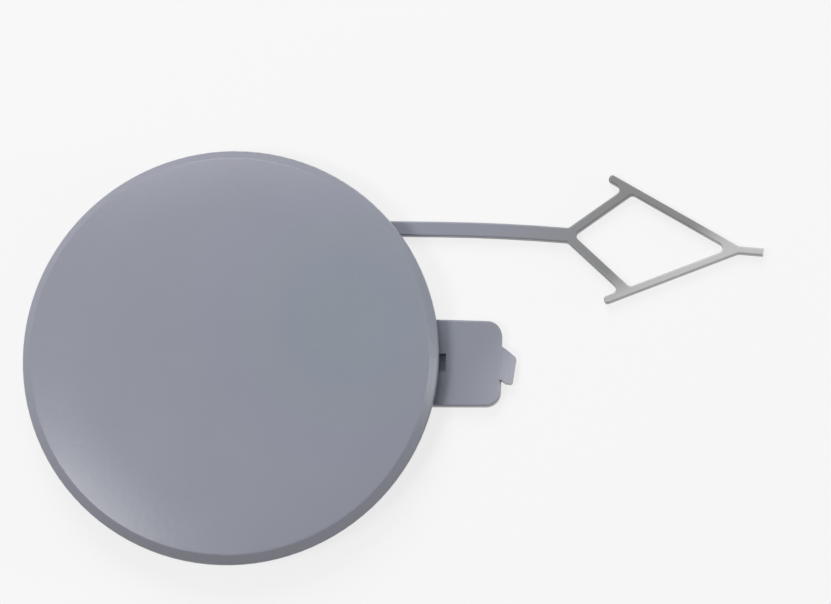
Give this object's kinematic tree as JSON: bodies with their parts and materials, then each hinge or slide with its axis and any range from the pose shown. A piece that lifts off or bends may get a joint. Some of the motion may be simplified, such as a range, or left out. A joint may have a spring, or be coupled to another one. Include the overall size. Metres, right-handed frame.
{
  "type": "bumper tow hook cover",
  "caption": "Round snap-in cover for the tow hook opening in a bumper, with a locating tab, a catch nose and a retaining strap that ends in an open arrowhead anchor.",
  "frame": {"origin": "on the axis of the round face, in the plane of the back edge that the cover rests on", "axes": "+Z is the way the face looks, +X points from the axis to the locating tab, and the strap runs beside the tab at +Y"},
  "size_m": [0.1235, 0.07, 0.0085],
  "materials": {
    "primed_plastic": "smooth grey paint primer over moulded plastic, with a slight sheen"
  },
  "bodies": {
    "root": {"tow_hook_cover": "primed_plastic"}
  },
  "joints": []
}
